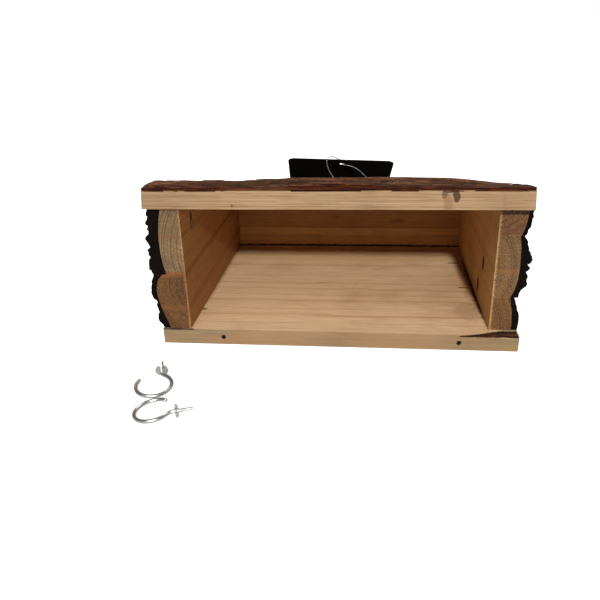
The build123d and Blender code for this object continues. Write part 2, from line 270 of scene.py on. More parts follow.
def sawnWood(name, s):
    material, tree, shader = startMaterial(name)
    coordinates = addNode(tree, "ShaderNodeTexCoord").outputs
    where = coordinates["Object"]
    grainTurn = {"X": (0, -pi / 2, 0), "Y": (pi / 2, 0, 0)}[s["grain"]]
    centred = stretch(tree, where, (1, 1, 1), place=tuple(-Vector(s["pith"]) * mm))
    ring = useGroup(tree, ringGroup, {
        "Vector": stretch(tree, centred, (1, 1, 1), turn=grainTurn), "Ring Width": s["ringWidth"] * mm,
        "Wander": s["wander"] * mm, "Unevenness": s["unevenness"],
    })
    normal = axesOf(tree, coordinates["Normal"])
    endFace = span(tree, calc(tree, "ABSOLUTE", normal["XY".index(s["grain"])]), *facing)

    latewood = calc(tree, "MULTIPLY", ring["Latewood"], s["lineStrength"])
    longColour = tint(tree, ring["Tone"], s["pale"], s["warm"])
    longColour = tint(tree, latewood, longColour, s["line"])
    streak = span(tree, ring["Fibre"], 0.35, 0.7, 0.0, s["fibreStrength"])
    longColour = tint(tree, streak, longColour, s["line"], "MULTIPLY")

    fuzz = noiseAt(tree, where, s["fuzzScale"], 3.0, 0.75)
    pores = span(tree, noiseAt(tree, where, s["poreScale"], 2.0, 0.6), 0.5, 0.62)
    blotch = noiseAt(tree, where, s["blotchScale"], 3.0, 0.6)
    torn = noiseAt(tree, where, s["tornScale"], 2.0, 0.7)  # pale torn fibres left by the saw
    patchy = span(tree, fuzz, 0.3, 0.6, 0.45, 1.3, False)
    broken = calc(tree, "MULTIPLY", ring["Latewood"], patchy, clamp=True)
    endColour = tint(tree, calc(tree, "MULTIPLY", broken, s["endLine"]), s["endPale"], s["endDark"])
    endColour = tint(tree, span(tree, fuzz, 0.42, 0.62, 0.0, s["fuzz"]), endColour, s["endDark"])
    endColour = tint(tree, calc(tree, "MULTIPLY", pores, s["fuzz"] * 0.6), endColour, s["endPore"])
    endColour = tint(tree, span(tree, blotch, 0.4, 0.75, 0.0, 0.35), endColour, s["endPore"])
    endColour = tint(tree, span(tree, torn, 0.56, 0.68, 0.0, s["tornFibre"]), endColour, s["pale"])
    if "arris" in s:  # a pale line along the wall's inner corner: painted highlight on the arris, ragged by the saw fuzz
        gap = calc(tree, "ABSOLUTE", calc(tree, "SUBTRACT", axesOf(tree, where)[0], s["arris"] * mm))
        ragged = calc(tree, "ADD", gap, span(tree, fuzz, 0.3, 0.7, -arris["fray"], arris["fray"], False))
        corner = span(tree, ragged, arris["full"], arris["reach"], arris["strength"], 0.0)
        endColour = tint(tree, corner, endColour, s["pale"])
    colour = tint(tree, endFace, longColour, endColour)
    if "edgeDullAndShade" in s:  # faces that look forward or back, the long sawn edges, are darker: partly duller rough-sawn wood, partly painted shade
        edgeFace = span(tree, calc(tree, "ABSOLUTE", normal[1]), *facing)
        colour = tint(tree, edgeFace, colour, s["edgeDullAndShade"], "MULTIPLY")
    for place, half, strength in s.get("lines", ()):
        colour = grainLine(tree, where, colour, s["grain"], place, half, strength, s["line"])
    grime = useGroup(tree, grimeGroup, {"Vector": where, "Patch Scale": s["patchScale"]})
    colour = tint(tree, calc(tree, "MULTIPLY", grime["Patches"], s["grime"]), colour, s["line"], "MULTIPLY")
    for spot in s.get("marks", ()):
        colour = paintMark(tree, where, colour, spot)

    longHeight = calc(tree, "ADD", calc(tree, "MULTIPLY", ring["Fibre"], 0.7),
                      calc(tree, "MULTIPLY", latewood, 0.35))
    longHeight = calc(tree, "MULTIPLY", longHeight, calc(tree, "SUBTRACT", 1.0, endFace))
    endHeight = calc(tree, "MULTIPLY", calc(tree, "MULTIPLY", fuzz, 1.6), endFace)
    shader.inputs["Specular IOR Level"].default_value = 0.25
    dress(tree, shader, colour, span(tree, ring["Fibre"], 0.3, 0.8, 0.62, 0.82),
          calc(tree, "ADD", longHeight, endHeight), depth=0.35 * mm, strength=0.55)
    return material


# a long dark line with the grain, at one depth (grain X) or one height (grain Y). It wavers
# and fades along its run, comes up slowly and ends sharply
lineRun = {  # noise per metre, how far the line sways, the axis that places it
    "X": ((9, 30, 30), 2 * mm, 1),
    "Y": ((30, 9, 30), 0.4 * mm, 2),
}


def grainLine(tree, vector, colour, grain, place, half, strength, shade):
    scale, sway, axis = lineRun[grain]
    waver = noiseAt(tree, stretch(tree, vector, scale, place=(place * 0.7, 0, 0)), 1.0, 2.0)
    moved = calc(tree, "ADD", axesOf(tree, vector)[axis], span(tree, waver, 0.3, 0.7, -sway, sway, False))
    offset = calc(tree, "SUBTRACT", moved, place * mm)
    rise = span(tree, offset, -half * 2.6 * mm, 0.0)
    fall = span(tree, offset, 0.0, half * mm, 1.0, 0.0)
    faint = span(tree, waver, 0.25, 0.75, 0.45, 1.0)
    both = calc(tree, "MULTIPLY", calc(tree, "MULTIPLY", rise, fall), calc(tree, "MULTIPLY", faint, strength))
    return tint(tree, both, colour, shade)


# a soft-edged oval mark on a face: centre and half sizes in mm, noise-broken outline
def paintMark(tree, vector, colour, spot):
    size = [1 / (h * mm) for h in spot["size"]]
    place = [-c * mm * k for c, k in zip(spot["centre"], size)]
    if "turn" in spot:  # a mark that runs at an angle to the grain, about its own centre
        vector = stretch(tree, vector, (1, 1, 1), place=tuple(-c * mm for c in spot["centre"]))
        vector = stretch(tree, vector, (1, 1, 1), turn=(0, 0, -radians(spot["turn"])))
        place = (0, 0, 0)
    reach = vectorCalc(tree, "LENGTH", {0: stretch(tree, vector, size, place=place)})["Value"]
    outline = span(tree, noiseAt(tree, vector, 260.0, 3.0), 0.2, 0.8, -0.35, 0.35, False)
    ragged = calc(tree, "ADD", reach, outline)
    inside = span(tree, ragged, spot.get("core", 0.45), 1.1, spot["strength"], 0.0)
    return tint(tree, inside, colour, spot["colour"])


def faceColours(pale, warm, line):
    return {"pale": pale, "warm": warm, "line": line}


def endColours(pale, dark, pore):
    return {"endPale": pale, "endDark": dark, "endPore": pore}


def mark(centre, size, strength, colour, **more):
    return {"centre": centre, "size": size, "strength": strength, "colour": colour, **more}


pale = faceColours((0.62, 0.445, 0.268), (0.56, 0.375, 0.202), (0.34, 0.17, 0.068))
# the inner faces of the walls and back get darker, more saturated copies of the pine colours: painted shade
# of the box's inside, one copy more shaded, the other lit
inner = {"lineStrength": 0.3, "fibreStrength": 0.22}
shadedInner = {**inner, **faceColours((0.45, 0.22, 0.072), (0.39, 0.165, 0.044), (0.17, 0.054, 0.012))}
litInner = {**inner, **faceColours((0.60, 0.36, 0.135), (0.52, 0.27, 0.083), (0.23, 0.088, 0.024))}
greyEnd = endColours((0.185, 0.117, 0.055), (0.070, 0.039, 0.017), (0.045, 0.023, 0.010))
dullEnd = endColours((0.148, 0.076, 0.027), (0.050, 0.023, 0.008), (0.035, 0.015, 0.005))
brownEnd = endColours((0.108, 0.045, 0.011), (0.042, 0.017, 0.005), (0.030, 0.011, 0.004))
tanEnd = endColours((0.138, 0.061, 0.018), (0.048, 0.020, 0.006), (0.032, 0.013, 0.004))
# pith is a point on the log's centre line; it, ringWidth and wander are in mm, scales are
# noise per metre and the rest are shares
common = {
    "ringWidth": 3.0, "wander": 2.0, "unevenness": 0.6, "lineStrength": 0.5, "fibreStrength": 0.35,
    "endLine": 1.15, "fuzz": 0.3, "tornFibre": 0.24, "grime": 0.25, "patchScale": 16.0,
    "fuzzScale": 620.0, "poreScale": 1050.0, "blotchScale": 75.0, "tornScale": 880.0,
}
# the second colour darkens real stains and also paints shade along the wall feet; the third darkens the joint
# under the back wall and paints shade in holes, gaps and corners
knotBrown, stainAndShade, shadeAndJointDark = (0.10, 0.035, 0.012), (0.16, 0.065, 0.022), (0.02, 0.009, 0.004)
knotDark, oliveBand = (0.045, 0.017, 0.006), (0.42, 0.28, 0.11)

# inner faces of the left, right and back walls and the floor's top, in mm
leftFace, rightFace, backFace, floorTop = -108.4, 110.0, 89.4, 12.0
pilotHoles = (-83.8, 88.2)

floorMarks = [
    mark((100, 44, floorTop), (7, 2.2, 4), 0.85, knotBrown),
    mark((102, -14, floorTop), (6, 2.0, 4), 0.9, knotBrown),
    # painted shadow of the right wall along its foot on the floor
    mark((108, 0, floorTop), (9, 62, 4), 0.6, stainAndShade),
    mark((100, -60, floorTop), (14, 20, 4), 0.35, stainAndShade),
    # painted shadow of the right wall, darkest right at its foot
    mark((109.4, -5, floorTop), (2.6, 96, 3), 0.95, shadeAndJointDark),
    mark((0, 56, floorTop), (170, 11, 3), 0.45, oliveBand, core=0.7),
    mark((-107, -66, floorTop), (2.5, 2, 3), 0.85, knotBrown),
    # painted shade along the left wall's foot on the floor
    mark((-108, 20, floorTop), (2.2, 90, 3), 0.5, stainAndShade),
    # painted shadow in the gap under the left wall, on the floor's front edge
    mark((-118, -101.8, floorTop), (15, 1.5, 1.4), 0.95, shadeAndJointDark),
    # painted shade inside the two pilot holes in the floor's front edge
    *[mark((x, -102, 5.9), (1.7, 22, 1.7), 1.0, shadeAndJointDark, core=0.8) for x in pilotHoles],
    mark((34, 28, floorTop), (13, 0.8, 3), 0.6, stainAndShade, turn=24),
    mark((-16, -7, floorTop), (9, 0.8, 3), 0.7, stainAndShade, turn=16),
    mark((12, -10, floorTop), (1.6, 1.2, 3), 0.6, stainAndShade),
]
roofMarks = [
    mark((71.5, -101, 114.5), (1.8, 40, 3.2), 0.7, knotDark, core=0.75),
    mark((79, -101, 113.6), (2.4, 40, 4.0), 0.95, knotDark, core=0.8),
    mark((75.5, -101, 116.6), (6, 40, 1.4), 0.9, knotDark, core=0.7),
    mark((74, -103, 108.5), (4.0, 40, 7), 0.5, stainAndShade),
    mark((110, -103, 110), (1.6, 40, 6), 0.2, stainAndShade),
    mark((-70, -104, 107), (1.4, 4, 1.2), 0.9, knotBrown),
]
leftStaple = [mark((leftFace, -73.4, 87.5), (3, 4.2, 8.5), 0.9, knotDark, core=0.5)]
# painted shade in the corner where the left wall meets the back
leftCornerShade = [mark((leftFace, backFace, 40), (3, 2.6, 60), 0.8, shadeAndJointDark)]
rightStaple = [mark((rightFace, -48, 47.3), (3, 3.8, 8), 0.92, knotDark, core=0.55)]
lowStaple = [mark((rightFace, -33.7, 23.4), (3, 3.8, 8), 0.92, knotDark, core=0.55)]
backSeam = [mark((0, backFace, 12.4), (170, 3, 1.5), 0.95, shadeAndJointDark, core=0.7)]
backKnots = [
    mark((0, backFace, 31.2), (170, 3, 0.9), 0.7, knotBrown),
    mark((-10, backFace, 42), (5, 3, 2.2), 0.5, knotBrown),
    mark((50, backFace, 38), (9, 3, 2.5), 0.45, knotBrown),
    mark((-70, backFace, 50), (4, 3, 2), 0.4, knotBrown),
]
# grain lines: place, half width in mm, strength
floorLines = [
    (-101, 1.2, 0.5), (-86, 1.0, 0.35), (-73, 1.6, 0.75), (-60, 1.0, 0.35), (-46, 1.8, 0.8),
    (-34, 1.2, 0.4), (-22, 1.6, 0.7), (-8, 1.6, 0.6), (8, 1.4, 0.35), (35, 1.8, 0.6), (52, 1.6, 0.4),
    (66, 2.5, 0.5), (80, 3.0, 0.6),
]
roofWood = {**pale, **greyEnd, "grain": "X", "edgeDullAndShade": (0.49, 0.465, 0.415)}
leftWood = {**shadedInner, "grain": "Y", "arris": leftFace}
rightWood = {**litInner, "grain": "Y", "arris": rightFace}
woods = {
    "floor_board": {
        **pale, **greyEnd, "grain": "X", "pith": (0, -20, -62), "ringWidth": 5.2, "wander": 9.0,
        "lineStrength": 0.22, "marks": floorMarks, "lines": floorLines, "edgeDullAndShade": (0.325, 0.35, 0.34)},
    "roof_front_slab": {
        **roofWood, "pith": (0, -80, 40), "ringWidth": 2.2, "wander": 2.5, "marks": roofMarks},
    "roof_middle_slab": {**roofWood, "pith": (0, 0, 25), "ringWidth": 2.8},
    "roof_rear_slab": {**roofWood, "pith": (0, 70, 5), "ringWidth": 2.6},
    "left_upper_slab": {
        **leftWood, **greyEnd, "pith": (-58, 0, 72), "ringWidth": 1.7, "marks": leftStaple,
        "lines": [(56.4, 1.6, 1.0), (84, 1.2, 0.5)]},
    "left_lower_slab": {
        **leftWood, **brownEnd, "pith": (-84, 0, 46), "ringWidth": 1.8, "marks": leftCornerShade,
        "lines": [(55.2, 1.4, 1.0), (30, 2.0, 0.5)]},
    "right_upper_slab": {
        **rightWood, **tanEnd, "pith": (100, 0, 120), "ringWidth": 1.9, "lines": [(83.7, 0.5, 0.7)]},
    "right_middle_slab": {
        **rightWood, **dullEnd, "pith": (80, 0, 60), "ringWidth": 1.6, "marks": rightStaple,
        "lines": [(37.7, 0.5, 0.7), (58, 2.0, 0.4)]},
    "right_lower_slab": {**rightWood, **tanEnd, "pith": (70, 0, 10), "ringWidth": 1.8, "marks": lowStaple},
    # the back's lower slab gets a lighter copy than its upper slab: painted light where the low front light
    # reaches the foot of the back wall
    "back_lower_slab": {
        **litInner, **greyEnd, "pale": (0.67, 0.35, 0.12), "warm": (0.58, 0.26, 0.075), "grain": "X",
        "pith": (0, 60, 18), "ringWidth": 2.6, "marks": backSeam},
    "back_upper_slab": {
        **shadedInner, **greyEnd, "grain": "X", "pith": (0, 55, 46), "ringWidth": 2.8, "marks": backKnots},
}
for nodeName, s in woods.items():
    wear(nodeName, sawnWood(nodeName + "Wood", {**common, **s}))
print("woods ready")


# lattice of repeatable random numbers: the fractional part of a large sine
def chanceAt(u, v, seed):
    value = np.sin(u * 127.1 + v * 311.7 + seed * 74.7) * 43758.5453
    return value - np.floor(value)


# smooth noise: random lattice values blended with a smoothstep, several octaves added
def softNoise(u, v, seed, octaves=3):
    total, weight, size = np.zeros(np.broadcast(u, v).shape), 0.0, 1.0
    for octave in range(octaves):
        a, b = u * 2**octave, v * 2**octave
        ia, ib = np.floor(a), np.floor(b)
        fa, fb = a - ia, b - ib
        fa, fb = fa * fa * (3 - 2 * fa), fb * fb * (3 - 2 * fb)
        k = seed + 13 * octave
        low = chanceAt(ia, ib, k) * (1 - fa) + chanceAt(ia + 1, ib, k) * fa
        high = chanceAt(ia, ib + 1, k) * (1 - fa) + chanceAt(ia + 1, ib + 1, k) * fa
        total += size * (low * (1 - fb) + high * fb)
        weight += size
        size *= 0.5
    return total / weight


def ramp(value, low, high):
    t = np.clip((value - low) / (high - low), 0, 1)
    return t * t * (3 - 2 * t)


# noise over a surface whose lumps are size mm long and wide
def noiseOver(along, across, size, seed, octaves=3):
    return softNoise(along / size[0], across / size[1], seed, octaves)


# bark relief: long flakes stacked like torn paper, split by crooked fissures. Warped smooth
# noise is cut into steps, each with a short steep edge; a fissure opens where a second noise
# crosses its middle value. along and across are millimetres over the surface; returns relief
# 0 to 1 and a tone that changes from flake to flake
flakes = {  # sizes and sways in mm over the bark
    "swayAlong": 16, "swayAlongSize": (23, 13), "swayAcross": 7, "swayAcrossSize": (19, 7),
    "ragged": 0.05, "raggedSize": (4, 1.6), "lowest": 0.22, "range": 0.56,
    "base": 0.15, "edge": 0.2, "gapAt": 0.03, "gapWide": 0.12, "gapDeep": 0.4,  # shares of one step
    "splitRegion": (30, 16), "regionFade": (0.3, 0.5), "splitWide": 0.075, "splitDeep": 0.85,
    "grainSize": (9, 1.0), "grain": 0.09, "toneSize": (26, 10), "tones": 7,
}


def barkRelief(along, across, s):
    f, seed = flakes, s["seed"]
    wavyAlong = along + f["swayAlong"] * (noiseOver(along, across, f["swayAlongSize"], seed + 1) - 0.5)
    wavyAcross = across + f["swayAcross"] * (noiseOver(along, across, f["swayAcrossSize"], seed + 2) - 0.5)
    height = noiseOver(wavyAlong, wavyAcross, s["flakeSize"], seed, 4)
    height = height + f["ragged"] * (noiseOver(along, across, f["raggedSize"], seed + 3, 2) - 0.5)
    stack = np.clip((height - f["lowest"]) / f["range"], 0, 1) * s["flakeSteps"]
    level = np.floor(stack)
    rest = stack - level
    stepped = (level + ramp(rest, 0.0, f["edge"])) / s["flakeSteps"]
    # shadowed gap under each flake
    gap = (level > 0) * (1 - ramp(np.abs(rest - f["gapAt"]), 0.0, f["gapWide"]))
    split = np.abs(noiseOver(wavyAlong, wavyAcross, s["splitSize"], seed + 50) - 0.5)
    region = ramp(noiseOver(along, across, f["splitRegion"], seed + 55, 2), *f["regionFade"])
    fissure = region * (1 - ramp(split, 0.0, f["splitWide"]))
    grain = noiseOver(along, across, f["grainSize"], seed + 4)
    relief = (f["base"] + (1 - f["base"]) * stepped) * (1 - f["splitDeep"] * fissure)
    relief = relief * (1 - f["gapDeep"] * gap) + f["grain"] * (grain - 0.5)
    drift = noiseOver(wavyAlong, wavyAcross, f["toneSize"], seed + 80, 2)
    tone = 0.5 * chanceAt(level, np.floor(drift * f["tones"]), seed + 90) + 0.5 * drift
    return np.clip(relief, 0, 1), tone


# curve through given points: natural cubic spline
def throughPoints(points, x):
    px, py = np.array(points, float).T
    gap = np.diff(px)
    n = len(px)
    matrix, right = np.eye(n), np.zeros(n)
    for i in range(1, n - 1):
        matrix[i, i - 1:i + 2] = gap[i - 1], 2 * (gap[i - 1] + gap[i]), gap[i]
        right[i] = 6 * ((py[i + 1] - py[i]) / gap[i] - (py[i] - py[i - 1]) / gap[i - 1])
    bend = np.linalg.solve(matrix, right)
    i = np.clip(np.searchsorted(px, x) - 1, 0, n - 2)
    a, b, h = px[i + 1] - x, x - px[i], gap[i]
    return (bend[i] * a**3 + bend[i + 1] * b**3) / (6 * h) + (py[i] / h - bend[i] * h / 6) * a \
        + (py[i + 1] / h - bend[i + 1] * h / 6) * b


# closed mesh from a closed section carried along stations: points[station, around, xyz]. The
# ends get flat caps, or a ring's last station joins its first; it is turned outwards by its
# signed volume
def sweptMesh(name, points, attributes=None, sharp=60, ring=False):
    stations, around = points.shape[:2]
    index = np.arange(stations * around).reshape(stations, around)
    caps = [] if ring else [index[0][::-1].tolist(), index[-1].tolist()]
    if ring:
        index = np.concatenate([index, index[:1]])
    turned = np.roll(index, -1, axis=1)
    quads = np.stack([index[:-1], turned[:-1], turned[1:], index[1:]], axis=-1).reshape(-1, 4)
    flat = points.reshape(-1, 3)
    a, b, c, d = (flat[quads[:, k]] for k in range(4))
    middle = flat.mean(axis=0)
    volume = np.einsum("ij,ij->i", a - middle, np.cross(b - middle, c - middle)).sum()
    volume += np.einsum("ij,ij->i", a - middle, np.cross(c - middle, d - middle)).sum()
    if volume < 0:
        quads = quads[:, ::-1]
        caps = [cap[::-1] for cap in caps]
    mesh = bpy.data.meshes.new(name)
    mesh.from_pydata(flat * mm, [], quads.tolist() + caps)
    mesh.polygons.foreach_set("use_smooth", np.ones(len(mesh.polygons), bool))
    mesh.set_sharp_from_angle(angle=radians(sharp))
    for label, values in (attributes or {}).items():
        layer = mesh.attributes.new(label, "FLOAT", "POINT")
        layer.data.foreach_set("value", values.reshape(-1).astype(np.float32))
    return addObject(name, mesh)


def barkMaterial(name, s):
    material, tree, shader = startMaterial(name)
    coordinates = addNode(tree, "ShaderNodeTexCoord").outputs
    where = coordinates["Object"]
    relief = addNode(tree, "ShaderNodeAttribute", attribute_name="relief").outputs["Fac"]
    tone = addNode(tree, "ShaderNodeAttribute", attribute_name="tone").outputs["Fac"]
    grime = useGroup(tree, grimeGroup, {"Vector": where, "Patch Scale": 22.0})
    fine = noiseAt(tree, stretch(tree, where, s["fibre"]), 1.0, 5.0, 0.65)
    colour = tint(tree, span(tree, tone, 0.25, 0.75), s["brown"], s["red"])
    colour = tint(tree, calc(tree, "MULTIPLY", grime["Patches"], 0.6), colour, s["grey"])
    # painted highlight: the raised flakes, high in the relief, are lightened
    colour = tint(tree, span(tree, relief, 0.45, 0.85, 0.0, s["topHighlight"]), colour, s["top"])
    colour = tint(tree, span(tree, fine, 0.38, 0.6, 0.0, 0.75), colour, s["deep"])
    # painted shade: the low parts of the relief, the fissures, the gaps under flakes and the cut face's lower
    # rows, are darkened
    colour = tint(tree, span(tree, relief, 0.05, 0.3, 1.0, 0.0), colour, s["deep"])
    fray = noiseAt(tree, stretch(tree, where, s["fray"]), 1.0, 4.0, 0.6)
    colour = tint(tree, span(tree, fray, 0.52, 0.64, 0.0, s["frayLight"]), colour, s["pinkFibre"])
    cutFace = span(tree, calc(tree, "ABSOLUTE", axesOf(tree, coordinates["Normal"])[1]), 0.5, 0.85)
    colour = tint(tree, cutFace, colour, s["cut"], "MULTIPLY")
    shader.inputs["Specular IOR Level"].default_value = 0.07
    rough = span(tree, fine, 0.3, 0.7, 0.95, 0.72)
    dress(tree, shader, colour, rough, fine, depth=0.9 * mm, strength=0.8)
    return material


# fibre and fray are noise per metre; cut dims the cut faces, which look forward or back
wallBark = {
    "brown": (0.026, 0.0125, 0.007), "red": (0.044, 0.0175, 0.0085), "grey": (0.050, 0.037, 0.028),
    "top": (0.085, 0.055, 0.037), "topHighlight": 0.75, "deep": (0.006, 0.003, 0.002), "fibre": (500, 120, 500),
    "fray": (700, 60, 700), "frayLight": 0.35, "pinkFibre": (0.13, 0.085, 0.06), "cut": (0.085, 0.06, 0.045),
}
roofBark = {
    "brown": (0.036, 0.0125, 0.0045), "red": (0.075, 0.0235, 0.0072), "grey": (0.056, 0.029, 0.015),
    "top": (0.14, 0.055, 0.022), "topHighlight": 0.85, "deep": (0.010, 0.0032, 0.0014), "fibre": (120, 500, 500),
    "fray": (26, 620, 620), "frayLight": 0.42, "pinkFibre": (0.24, 0.12, 0.062), "cut": (0.58, 0.38, 0.25),
}
wallBarkSkin = barkMaterial("wallBarkSkin", wallBark)
backBarkSkin = barkMaterial("backBarkSkin", {
    **wallBark, "fibre": (120, 500, 500), "fray": (90, 700, 700), "cut": (1, 1, 1)})
roofBarkSkin = barkMaterial("roofBarkSkin", roofBark)

# roof plane: the underside's front edge, its slope in degrees and how deep each slab is
roof = {"slope": 15, "frontY": -104.0, "frontZ": 104.7, "slabDepth": 72.6}
slopeSin, slopeCos = sin(radians(roof["slope"])), cos(radians(roof["slope"]))


def roofUnder(y):
    return roof["frontZ"] - (y - roof["frontY"]) * slopeSin / slopeCos


# one wall or back slab's bark. The section runs up the wood's outer curve and back down
# the bark's own curve pushed out by the relief; it is cut off at the roof's underside
def slabBark(name, s):
    alongY = s["along"] == "Y"
    start, end = s["ends"]
    base = floorTop + s["low"]
    if alongY:
        end = min(end, roof["frontY"] + (roof["frontZ"] - base - s["roofGap"]) * slopeCos / slopeSin)
    stations = np.linspace(start + s["inset"][0], end - s["inset"][1], int((end - start) / s["grid"]))
    share = np.linspace(0, 1, max(s["fewestRows"], int(s["high"] / s["grid"])))
    if alongY:
        top = np.minimum(s["high"], roofUnder(stations) - base)
    else:
        top = np.full(stations.shape, min(s["high"], roofUnder(s["face"] + s["thick"]) - base))
    up = top[:, None] * share[None, :]
    wood = throughPoints(s["wood"], up)
    bark = throughPoints(s["bark"], up)
    here = np.broadcast_to(stations[:, None], up.shape)
    relief, tone = barkRelief(here, up * s["stretch"] + s["apart"] * s["seed"], s)
    # the relief is calmer at the slab's lower and upper edge
    lively = ramp(share, 0.0, s["calmTo"]) * (1 - ramp(share, s["calmFrom"], 1.0))
    calm = s["calm"] + (1 - s["calm"]) * lively
    out = bark + s["lift"] + s["depth"] * (relief - 0.5) * calm[None, :]
    out = np.maximum(out, wood + s["least"])
    # the inner side lies in the wood and needs only each fourth row
    widths = np.concatenate([wood[:, ::4] - s["tuck"], out[:, ::-1]], axis=1)
    heights = np.concatenate([up[:, ::4], up[:, ::-1]], axis=1)
    reliefAll = np.concatenate([np.full(up[:, ::4].shape, 0.25), relief[:, ::-1]], axis=1)
    toneAll = np.concatenate([tone[:, ::4], tone[:, ::-1]], axis=1)
    side = s["face"] + s["side"] * widths
    line = np.broadcast_to(stations[:, None], side.shape)
    points = np.stack([side, line, heights + base] if alongY else [line, side, heights + base], axis=-1)
    piece = sweptMesh(name, points, {"relief": reliefAll, "tone": toneAll}, sharp=70)
    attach(piece, "feeder")
    wear(piece, wallBarkSkin if alongY else backBarkSkin)
    return piece


wallCommon = {
    "along": "Y", "grid": 1.0, "depth": 4.0, "lift": 0.0, "least": 0.5, "tuck": 0.7,
    "calm": 0.4, "calmTo": 0.08, "calmFrom": 0.93, "stretch": 1.15, "apart": 40,
    "inset": (0.35, 0.1), "roofGap": 0.8, "thick": 13, "fewestRows": 14,
    "flakeSize": (30, 10), "flakeSteps": 5, "splitSize": (62, 17),
}
leftWall = {**wallCommon, "face": leftFace, "side": -1, "ends": (-101, backFace)}
rightWall = {**wallCommon, "face": rightFace, "side": 1, "ends": (-92, backFace), "lift": 0.35}
backWall = {**wallCommon, "along": "X", "face": backFace, "side": 1, "ends": (-122.5, 124.5), "depth": 2.6}
# wood and bark: height over the slab's lower edge, distance out from the wall's inner face
barks = {
    "left_lower_bark": {**leftWall, "low": 0, "high": 43.2, "seed": 3, "depth": 2.4,
        "wood": [(0, 15.2), (14, 20.2), (27, 22.8), (37, 21.8), (43.2, 16.5)],
        "bark": [(0, 20.4), (6, 24.4), (11, 24.2), (16, 23.8), (27, 26.2), (37, 26.0), (43.2, 24.2)]},
    "left_upper_bark": {**leftWall, "low": 43.2, "high": 54.8, "seed": 5,
        "wood": [(0, 14.0), (10, 16.0), (22, 16.8), (38, 15.6), (54.8, 11.2)],
        "bark": [(0, 23.8), (6, 25.2), (14, 24.4), (24, 25.8), (38, 23.4), (54.8, 22.8)]},
    "right_lower_bark": {**rightWall, "low": 0, "high": 25.5, "seed": 7, "depth": 2.2,
        "wood": [(0, 15.4), (14, 14.8), (25.5, 12.4)],
        "bark": [(0, 19.3), (7, 19.7), (16, 18.6), (25.5, 14.5)]},
    "right_middle_bark": {**rightWall, "low": 25.5, "high": 46, "seed": 11,
        "wood": [(0, 12.6), (11, 16.0), (24, 16.7), (36, 16.2), (46, 14.6)],
        "bark": [(0, 17.8), (7, 21.1), (13, 22.2), (20, 21.3), (31, 22.8), (46, 17.6)]},
    "right_upper_bark": {**rightWall, "low": 71.5, "high": 26.5, "seed": 13, "depth": 2.4,
        "wood": [(0, 15.4), (8, 17.6), (26.5, 18.2)],
        "bark": [(0, 18.2), (7, 21.0), (26.5, 21.3)]},
    "back_lower_bark": {**backWall, "low": 0, "high": 19.2, "seed": 17,
        "wood": [(0, 11.0), (9, 13.0), (19.2, 11.6)],
        "bark": [(0, 13.4), (9, 16.2), (19.2, 13.8)]},
    "back_upper_bark": {**backWall, "low": 19.2, "high": 30.8, "seed": 19,
        "wood": [(0, 11.4), (12, 13.6), (30.8, 12.0)],
        "bark": [(0, 13.6), (12, 17.0), (30.8, 15.4)]},
}
for nodeName, s in barks.items():
    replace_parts(slabBark(nodeName.replace("_", "") + "Skin", s), nodeName)
print("wall bark ready")


# roof nails: the bark is crushed round each head, down to just under the head's top
nailHeads = {  # places across and down the slope, in mm
    "across": (-115.4, 117.0), "down": (21, 51, 94, 124, 163), "crushed": 3.2, "lip": 4.8, "under": 0.25,
}


# each head's two places and the height of its top over the roof's underside
def findHeads(s):
    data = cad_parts["roof_nails"].data
    places = np.zeros(len(data.vertices) * 3)
    data.vertices.foreach_get("co", places)
    x, y, z = places.reshape(-1, 3).T / mm
    down = (y - roof["frontY"]) * slopeCos - (z - roof["frontZ"]) * slopeSin
    up = (y - roof["frontY"]) * slopeSin + (z - roof["frontZ"]) * slopeCos
    heads = []
    for headX in s["across"]:
        for headDown in s["down"]:
            near = np.hypot(x - headX, down - headDown) < s["lip"]
            heads.append((headX, headDown, up[near].max()))
    return heads


headPlaces = findHeads(nailHeads)


